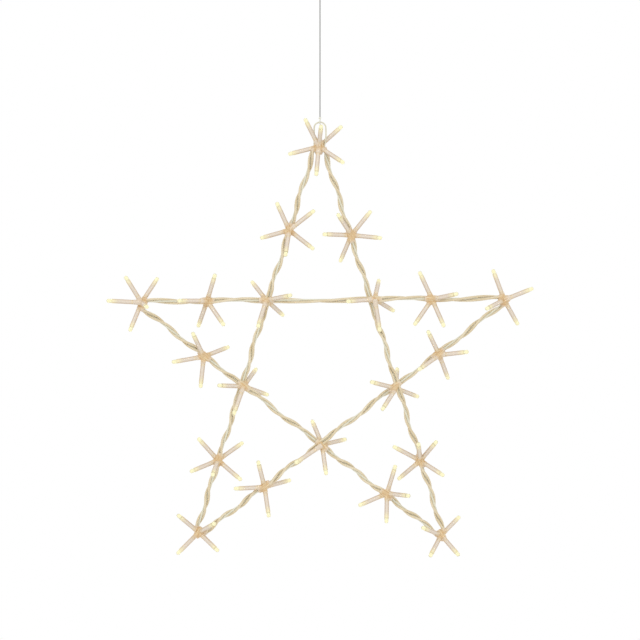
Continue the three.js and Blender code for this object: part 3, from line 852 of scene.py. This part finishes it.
class StageOperator(bpy.types.Operator):
    """Make the white studio: floor, soft lights and the camera"""

    bl_idname = "light_star.make_stage"
    bl_label = "Make Studio"

    view_width: length("View width", "Width that the camera takes in at the star", 0.768)
    view_middle: FloatProperty(
        name="View middle", description="Height that the camera looks at", default=-0.41736, unit="LENGTH"
    )
    distance: length("Distance", "From the camera to the star", 3.2)
    floor_radius: length("Floor radius", "Round floor under the star", 0.5)
    floor_drop: length("Floor drop", "From the hook down to the floor", 0.93)
    floor_sides: count("Floor sides", "Sides of the round floor", 96)
    room_light: share("Room light", "Strength of the white room as a light", 0.88)

    def execute(self, context):
        self.make_camera(context)
        self.make_floor(context)
        self.make_lights(context)
        self.make_world(context)
        context.scene.view_settings.view_transform = "Standard"
        return {"FINISHED"}

    def make_camera(self, context):
        """Far off and straight in front of the star, with a view as wide as the photograph's."""
        data = bpy.data.cameras.new("camera")
        data.lens = data.sensor_width * self.distance / self.view_width
        data.clip_start = 0.1
        data.clip_end = 50
        camera = bpy.data.objects.new("camera", data)
        camera.location = (0, -self.distance, self.view_middle)
        camera.rotation_euler = (math.pi / 2, 0, 0)
        context.scene.collection.objects.link(camera)
        context.scene.camera = camera

    def make_floor(self, context):
        """A round floor below the camera's view."""
        bm = bmesh.new()
        bmesh.ops.create_circle(
            bm, cap_ends=True, radius=self.floor_radius, segments=self.floor_sides
        )
        bmesh.ops.translate(bm, verts=bm.verts, vec=(0, 0, -self.floor_drop))
        mesh = bpy.data.meshes.new("floor")
        bm.to_mesh(mesh)
        bm.free()
        mesh.materials.append(paper_floor())
        floor = bpy.data.objects.new("floor", mesh)
        context.scene.collection.objects.link(floor)

    def make_lights(self, context):
        """Soft lights that point at the middle of the view."""
        aim = Vector((0, 0, self.view_middle))
        for kind in STUDIO_LIGHTS:
            data = bpy.data.lights.new(kind["name"], "AREA")
            data.size = kind["size"]
            data.energy = kind["watts"]
            light = bpy.data.objects.new(kind["name"], data)
            light.location = kind["place"]
            light.rotation_euler = (aim - light.location).to_track_quat("-Z", "Y").to_euler()
            context.scene.collection.objects.link(light)

    def make_world(self, context):
        """White to the camera, and a little dimmer as a light."""
        world = bpy.data.worlds.new("studio")
        world.use_nodes = True
        tree = world.node_tree
        tree.nodes.clear()
        white = rgba(context.scene.star_colours.backdrop)
        seen = add_node(tree, "ShaderNodeBackground", inputs={"Color": white, "Strength": 1.0})
        light = add_node(
            tree, "ShaderNodeBackground", inputs={"Color": white, "Strength": self.room_light}
        )
        mix = add_node(tree, "ShaderNodeMixShader", inputs={
            0: background_rays(tree),
            1: light.outputs["Background"],
            2: seen.outputs["Background"],
        })
        add_node(tree, "ShaderNodeOutputWorld", inputs={"Surface": mix.outputs["Shader"]})
        context.scene.world = world


class CordOperator(bpy.types.Operator):
    """Make the hanging cord with its ring, knots and hook loop"""

    bl_idname = "light_star.make_cord"
    bl_label = "Make Cord"

    plies: IntProperty(name="Plies", description="Plies that the cord is twisted from", default=3, min=2)
    ply_depth: share("Ply depth", "Depth between the plies, as a share of the cord's radius", 0.2)
    knot_lap: share("Knot lap", "Depth of the cord's ends in a knot, as a share of its radius", 0.6)

    def execute(self, context):
        self.sizes = sizes = context.scene.cord_sizes
        star = context.scene.star_sizes
        loose, sealed = twisted_cord(), sealed_cord()
        radius = sizes.cord_radius
        ring_radius = star.eye_wire_radius + star.clearance + radius
        knot_z = ring_radius + radius + star.clearance + sizes.knot_radius - sizes.cord_drop
        hook_knot_z = radius - sizes.hook_loop_length - sizes.knot_length
        lap = self.knot_lap * sizes.knot_radius

        bm = bmesh.new()
        self.twist(bm, self.ring_line(ring_radius), closed=True)
        ring = piece("cord_ring_loop", bm, [sealed], "ring", ["cord_ring"])

        low = knot_z - sizes.knot_radius - star.clearance
        bm = self.wrapped_knot(low, knot_z + sizes.knot_radius, turns=1.5)
        knot = piece("cord_star_knot", bm, [sealed], "knot", ["cord_knot"])

        bm = self.wrapped_knot(hook_knot_z, hook_knot_z + sizes.knot_length, turns=2)
        self.twist(bm, self.hook_line(hook_knot_z))
        loop = piece("cord_hook_end", bm, [loose], "cord", ["cord_hook_loop"])

        start = Vector((0, 0, knot_z + sizes.knot_radius - lap))
        end = Vector((0, 0, hook_knot_z + lap))
        steps = round((end - start).length / sizes.cord_step)
        line = [start.lerp(end, i / steps) for i in range(steps + 1)]
        bm = bmesh.new()
        self.twist(bm, line)
        cord = piece("cord_taut_stretch", bm, [loose], "cord", ["hanging_cord"])
        return {"FINISHED"}

    def twist(self, bm, line, closed=False):
        """Cord along a line, whose section has a lobe for each ply and turns along it."""
        frames = frames_along(line, self.sizes.ply_lay, closed)
        lobes = (self.plies, self.ply_depth)
        sweep(bm, frames, self.sizes.cord_radius, 4 * self.plies, closed=closed, lobes=lobes)

    def ring_line(self, ring_radius):
        """The ring round the hanging eye's wire."""
        steps = round(2 * math.pi * ring_radius / self.sizes.cord_step)
        middle = Vector((0, 0, -self.sizes.cord_drop))
        angles = [math.pi / 2 + 2 * math.pi * i / steps for i in range(steps)]
        return [middle + ring_radius * Vector((0, math.cos(a), math.sin(a))) for a in angles]

    def wrapped_knot(self, low, high, turns):
        """A knot: turns of the cord round its own standing part, drawn tight to a round lump."""
        sizes = self.sizes
        radius = sizes.cord_radius
        parts_per_turn = 16
        parts = parts_per_turn * math.ceil(turns)
        line = []
        for i in range(parts + 1):
            angle = 2 * math.pi * turns * i / parts
            orbit = (sizes.knot_radius - radius) * math.sqrt(1 - (2 * i / parts - 1) ** 2)
            height = low + radius + (high - low - 2 * radius) * i / parts
            line.append(Vector((orbit * math.cos(angle), orbit * math.sin(angle), height)))
        bm = bmesh.new()
        sweep(bm, frames_along(line), radius, 4 * self.plies)
        sweep(bm, frames_along([line[0], line[-1]]), radius, 4 * self.plies)
        return melted(bm, sizes.knot_grain)

    def hook_line(self, hook_knot_z):
        """The hook loop, from the middle of its knot round the arch and back. The arch runs on past its
        half circle at both ends, by the overrun."""
        sizes = self.sizes
        half = sizes.hook_loop_width / 2 - sizes.cord_radius
        arch_z = sizes.cord_radius - half
        neck_z = hook_knot_z + sizes.knot_length / 2
        parts = 11
        overrun_share = 0.11
        points = [Vector((-sizes.cord_radius, 0, neck_z))]
        for i in range(parts + 1):
            angle = math.pi * (1 + overrun_share - (1 + 2 * overrun_share) * i / parts)
            points.append(Vector((half * math.cos(angle), 0, arch_z + half * math.sin(angle))))
        points.append(Vector((sizes.cord_radius, 0, neck_z)))
        return smooth_line(points, sizes.cord_step)


class WireOperator(bpy.types.Operator):
    """Make the five frame wires and the hanging eye"""

    bl_idname = "light_star.make_wires"
    bl_label = "Make Wires"

    def execute(self, context):
        sizes = context.scene.star_sizes
        layout = Layout(context.scene)
        material = coated_wire()
        for number, bar in enumerate(layout.bars, 1):
            node = f"frame_wire_{number}"
            bm = bmesh.new()
            sweep(bm, frames_along(bar.line()), sizes.wire_radius, sizes.tube_sides)
            piece(f"coated_wire_{number}", bm, [material], "star", [node])
        bm = bmesh.new()
        sweep(bm, frames_along(self.eye_line(layout)), sizes.eye_wire_radius, sizes.tube_sides)
        piece("coated_wire_eye", bm, [material], "star", ["hanging_eye"])
        return {"FINISHED"}

    def eye_line(self, layout):
        """The eye: up from the wire that leaves the top, over its round top and down to the wire that
        arrives there."""
        sizes = layout.sizes
        leaving, arriving = layout.bars[0], layout.bars[-1]
        centre = Vector((0, 0, -layout.cord_drop - sizes.eye_radius))
        knee_z = centre.z - sizes.eye_knee_drop
        inset = sizes.bar_inset - sizes.clearance - sizes.eye_wire_radius / 2
        left = layout.wire_place("top", "left_foot") + leaving.along * inset
        right = layout.wire_place("top", "right_foot") - arriving.along * inset
        parts = 6
        points = [left, Vector((-sizes.eye_radius, 0, knee_z))]
        for i in range(parts + 1):
            angle = math.pi * (1 - i / parts)
            points.append(centre + sizes.eye_radius * Vector((math.cos(angle), 0, math.sin(angle))))
        points += [Vector((sizes.eye_radius, 0, knee_z)), right]
        return smooth_line(points, sizes.tube_step / 3)


class StrandOperator(bpy.types.Operator):
    """Make the ten strands of the light string, wound in pairs round the wires"""

    bl_idname = "light_star.make_strands"
    bl_label = "Make Strands"

    def execute(self, context):
        sizes = context.scene.star_sizes
        layout = Layout(context.scene)
        jacket_radius = sizes.strand_radius + sizes.jacket_give
        materials = [strand_jacket(), strand_core()]
        for number, bar in enumerate(layout.bars, 1):
            for letter, phase in (("a", -layout.pair_angle), ("b", layout.pair_angle)):
                frames = frames_along(bar.line(layout.orbit, phase))
                bm = bmesh.new()
                bm.verts.layers.float_vector.new("tube_place")
                sweep(bm, frames, jacket_radius, sizes.tube_sides)
                sweep(bm, frames[1:-1], sizes.core_radius, sizes.tube_sides, material=1)
                strand = f"{number}_{letter}"
                node = f"strand_{strand}"
                piece(f"light_string_{strand}", bm, materials, "star", [node])
        return {"FINISHED"}


class LampOperator(bpy.types.Operator):
    """Make the twenty lamp clusters: joints, sleeves with their leads, lenses and glow"""

    bl_idname = "light_star.make_lamps"
    bl_label = "Make Lamps"

    def execute(self, context):
        self.sizes = context.scene.lamp_sizes
        self.plan = Layout(context.scene)
        self.materials = {
            "sleeve": lamp_sleeve(),
            "lead": lamp_lead(),
            "lens": lamp_lens(),
            "glow": lamp_glow(),
            "joint": moulded_joint(),
        }
        for name in LAMP_SHARES:
            self.make_cluster(name)
        return {"FINISHED"}

    def tip_seat(self, tip):
        """The seat of the cluster at a tip, between the two wires that meet there."""
        sizes, plan = self.sizes, self.plan
        top = tip == "top"
        radius = sizes.top_joint_radius if top else sizes.tip_joint_radius
        joint_length = sizes.top_joint_length if top else sizes.tip_joint_length
        centre = plan.tips[tip]
        return Seat(centre, centre, plan.tip_middle(tip), radius, radius, joint_length, plan.bore_radius)

    def wire_seat(self, name):
        """The seat of a cluster on a wire, part way along an arm or at a crossing."""
        plan = self.plan
        radius = depth_radius = plan.joint_radius
        room = plan.bore_radius
        if name in ARM_JOINT_SHARES:
            number, along_share, beside_share = ARM_JOINT_SHARES[name]
            bar = plan.bars[number]
            distance = along_share * bar.length
        else:
            number, crossing, past_share, beside_share = CROSSING_JOINT_SHARES[name]
            bar = plan.bars[number]
            distance = bar.crossings[crossing] + past_share * radius
            depth_radius = plan.crossing_joint_radius
            room = plan.crossing_reach
        centre = bar.start + bar.along * distance
        meeting = centre + bar.across * beside_share * radius
        return Seat(centre, meeting, bar.along, radius, depth_radius, self.sizes.joint_length, room)

    def passing_wires(self, seat):
        """Directions of the wound wires that a cluster sits on."""
        found = []
        for bar in self.plan.bars:
            away = seat.centre - bar.start
            away.y = 0
            beside = abs(away.dot(bar.across)) < seat.radius + self.plan.bundle_radius
            if beside and -seat.radius < away.dot(bar.along) < bar.length + seat.radius:
                found.append(bar.along)
        return found

    def root_rise(self, direction, passing, room):
        """How far a lamp's root moves forward or back to pass the wound wires that it runs along."""
        apart = room + self.sizes.sleeve_radius
        rise = 0.0
        for along in passing:
            flat = Vector((direction.x, 0, direction.z))
            aside = self.sizes.root_reach * flat.cross(along).length
            lifted = self.sizes.root_reach * abs(direction.y)
            rise = max(rise, math.sqrt(max(0.0, apart ** 2 - aside ** 2)) - lifted)
        return rise

    def lamp_places(self, name, seat):
        """Matrices of a cluster's lamps: Z along the lamp, X in the plane of the star."""
        passing = self.passing_wires(seat)
        places = []
        for degrees, seen_share, lean in LAMP_SHARES[name]:
            angle = math.radians(degrees)
            seen = min(1.0, seen_share)
            depth = -lean * math.sqrt(1 - seen * seen)
            ahead = Vector((seen * math.cos(angle), depth, seen * math.sin(angle)))
            root = seat.meeting.copy()
            root.y -= lean * self.root_rise(ahead, passing, seat.room)
            side = Vector((math.sin(angle), 0, -math.cos(angle)))
            stretch = Matrix.Scale(max(1.0, seen_share), 4, (0, 0, 1))
            places.append(basis(side, ahead.cross(side), ahead, root) @ stretch)
        return places

    def copies(self, bm, places):
        """Put a copy of the shape at each place and remove the first one."""
        first = bm.verts[:] + bm.edges[:] + bm.faces[:]
        originals = bm.verts[:]
        for place in places:
            made = bmesh.ops.duplicate(bm, geom=first)["geom"]
            bmesh.ops.transform(bm, matrix=place, verts=only(bmesh.types.BMVert, made))
        bmesh.ops.delete(bm, geom=originals, context="VERTS")

    def make_cluster(self, name):
        """A cluster: its joint, and a piece for each kind of part that its lamps have."""
        tip = TIP_CLUSTERS.get(name)
        seat = self.tip_seat(tip) if tip else self.wire_seat(name)
        places = self.lamp_places(name, seat)
        node = f"lamp_cluster_{name}"
        bm = self.build_joint(seat, places, tip)
        piece(f"joint_{name}", bm, [self.materials["joint"]], "star", [node])
        for kind, build, slot in (
            ("sleeve", self.build_sleeve, "lamp_sleeve"),
            ("lead", self.build_leads, "lead_wire"),
            ("lens", self.build_lens, "lamp_lens"),
            ("glow", self.build_glow, "lamp_lens"),
        ):
            bm = bmesh.new()
            build(bm)
            self.copies(bm, places)
            piece(f"{kind}_{name}", bm, [self.materials[kind]], "star", [node])

    def add_sockets(self, bm, tip, centre):
        """Take the ends of a tip's two wound wires into its joint: a socket round each, and a web from
        the joint's middle to the socket."""
        sizes, plan = self.sizes, self.plan
        jacket = plan.sizes.strand_radius + plan.sizes.jacket_give
        aside = plan.orbit * math.cos(plan.pair_angle) / 2
        wide = aside + jacket + 2 * sizes.socket_wall
        deep = plan.orbit * math.sin(plan.pair_angle) + jacket + sizes.socket_wall
        reach = plan.sizes.bar_inset + sizes.socket_lap - sizes.socket_length / 2
        for bar, ends in zip(plan.bars, BAR_TIPS):
            if tip not in ends:
                continue
            middle = bar.point(reach if tip == ends[0] else bar.length - reach, aside)
            web = middle - centre
            for along, place, depth in (
                (bar.along, middle, sizes.socket_length),
                (web.normalized(), centre + web / 2, web.length),
            ):
                side = square_to(along)
                deepened = Matrix.Scale(deep / wide, 4, (0, 1, 0))
                bmesh.ops.create_cone(
                    bm,
                    cap_ends=True,
                    segments=sizes.lamp_sides,
                    radius1=wide,
                    radius2=wide,
                    depth=depth,
                    matrix=basis(side, along.cross(side), along, place) @ deepened,
                )

    def build_joint(self, seat, places, tip):
        """A spindle on the wire, run together with a thin collar round each sleeve's root and, at a tip,
        with sockets for the wires. Each vertex notes its place in the wire's own frame."""
        sizes = self.sizes
        across = square_to(seat.along)
        wire_frame = basis(across, seat.along.cross(across), seat.along, seat.centre)
        half = seat.joint_length / 2
        rings = 12
        profile = [(0, -half)]
        for i in range(rings + 1):
            past = 2 * i / rings - 1
            width_share = sizes.spindle_share * (1 - (1 - sizes.spindle_end_share) * abs(past) ** 3)
            profile.append((seat.radius * width_share, past * half))
        profile.append((0, half))
        bm = bmesh.new()
        spindle = lathe(bm, profile, 2 * sizes.lamp_sides)
        deepened = wire_frame @ Matrix.Scale(seat.depth_radius / seat.radius, 4, (0, 1, 0))
        bmesh.ops.transform(bm, matrix=deepened, verts=spindle)
        for place in places:
            bmesh.ops.create_cone(
                bm,
                cap_ends=True,
                segments=sizes.lamp_sides,
                radius1=sizes.sleeve_radius + 2 * sizes.collar_wall,
                radius2=sizes.sleeve_radius + sizes.collar_wall,
                depth=sizes.collar_length,
                matrix=place @ Matrix.Translation((0, 0, sizes.collar_length / 2)),
            )
        if tip:
            self.add_sockets(bm, tip, seat.centre)
        skin = melted(bm, sizes.joint_grain)
        layer = skin.verts.layers.float_vector.new("joint_place")
        inward = wire_frame.inverted()
        for vert in skin.verts:
            vert[layer] = inward @ vert.co
        return skin

    def mark_share(self, bm):
        """Note on each vertex how far along the lamp it lies, as a share of the lamp's length, and how
        far out to its side in the star's plane, as a share of the sleeve's radius: the sleeve is darkened
        there, partly for the leads and partly as painted shade at its edges."""
        along = bm.verts.layers.float.new("lamp_share")
        side = bm.verts.layers.float.new("lead_and_edge_shade")
        for vert in bm.verts:
            vert[along] = vert.co.z / self.sizes.lamp_length
            vert[side] = abs(vert.co.x) / self.sizes.sleeve_radius

    def build_sleeve(self, bm):
        """A tube with a rounded lip, open at the lens, with two rings of vertices on its way there."""
        sizes = self.sizes
        outer = sizes.sleeve_radius
        inner = outer - sizes.sleeve_wall
        root = sizes.sleeve_root
        lip = sizes.lamp_length - sizes.lens_length
        low_ring = 0.35 * lip
        high_ring = 0.7 * lip
        rounding = sizes.sleeve_wall / 3
        profile = [
            (inner, root),
            (outer, root),
            (outer, low_ring),
            (outer, high_ring),
            (outer, lip - sizes.sleeve_wall),
            (outer - rounding / 2, lip - rounding),
            ((outer + inner) / 2, lip),
            (inner, lip - rounding),
            (inner, high_ring),
            (inner, low_ring),
        ]
        lathe(bm, profile, sizes.lamp_sides, closed=True)
        self.mark_share(bm)

    def build_leads(self, bm):
        """Two insulated leads from the joint to the lens, a little further apart there."""
        sizes = self.sizes
        end_z = sizes.lamp_length - sizes.lens_length - sizes.lens_seat
        parts = 5
        for side in (-1, 1):
            spread = side * sizes.lead_spread
            start = Vector((spread * sizes.lead_root_share, 0, sizes.sleeve_root))
            end = Vector((spread, 0, end_z))
            points = [start.lerp(end, i / parts) for i in range(parts + 1)]
            sweep(bm, frames_along(points), sizes.lead_radius, sizes.lead_sides)

    def build_lens(self, bm):
        """The lens: a seat inside the sleeve, a straight part and a round end."""
        sizes = self.sizes
        base = sizes.lamp_length - sizes.lens_length
        shoulder = sizes.lamp_length - sizes.lens_dome
        seat_radius = sizes.sleeve_radius - sizes.sleeve_wall - sizes.lens_play
        profile = [
            (0, base - sizes.lens_seat),
            (seat_radius, base - sizes.lens_seat),
            (seat_radius, base - sizes.lens_step / 2),
            (sizes.lens_radius, base + sizes.lens_step / 2),
        ]
        parts = 6
        for i in range(parts):
            angle = math.pi / 2 * i / parts
            height = shoulder + sizes.lens_dome * math.sin(angle)
            profile.append((sizes.lens_radius * math.cos(angle), height))
        profile.append((0, sizes.lamp_length))
        lathe(bm, profile, sizes.lamp_sides)

    def build_glow(self, bm):
        """The bright body inside the lens."""
        sizes = self.sizes
        middle = Matrix.Translation((0, 0, sizes.lamp_length - sizes.lens_length / 2 - sizes.glow_drop))
        form = Matrix.Diagonal((sizes.glow_radius, sizes.glow_radius, sizes.glow_length / 2, 1))
        bmesh.ops.create_icosphere(bm, subdivisions=2, radius=1, matrix=middle @ form)


class LightStarPanel(bpy.types.Panel):
    """Sizes, colours and operators of the star"""

    bl_idname = "VIEW3D_PT_light_star"
    bl_label = "Light Star"
    bl_space_type = "VIEW_3D"
    bl_region_type = "UI"
    bl_category = "Light Star"

    def draw(self, context):
        layout = self.layout
        for operator in OPERATORS:
            layout.operator(operator.bl_idname)
        for name in ("star_sizes", "lamp_sizes", "cord_sizes", "star_colours"):
            group = getattr(context.scene, name)
            box = layout.box()
            box.label(text=name.replace("_", " ").capitalize())
            for key in group.__annotations__:
                box.prop(group, key)


GROUPS = {
    "star_sizes": StarSizes,
    "lamp_sizes": LampSizes,
    "cord_sizes": CordSizes,
    "star_colours": StarColours,
}
OPERATORS = (StageOperator, CordOperator, WireOperator, StrandOperator, LampOperator)


def register():
    for cls in (*GROUPS.values(), *OPERATORS, LightStarPanel):
        bpy.utils.register_class(cls)
    for name, group in GROUPS.items():
        setattr(bpy.types.Scene, name, PointerProperty(type=group))


def unregister():
    for name in GROUPS:
        delattr(bpy.types.Scene, name)
    for cls in (LightStarPanel, *OPERATORS, *GROUPS.values()):
        bpy.utils.unregister_class(cls)


def main():
    register()
    bpy.ops.light_star.make_stage()
    bpy.ops.light_star.make_cord()
    bpy.ops.light_star.make_wires()
    bpy.ops.light_star.make_strands()
    bpy.ops.light_star.make_lamps()


if __name__ == "__main__":
    main()
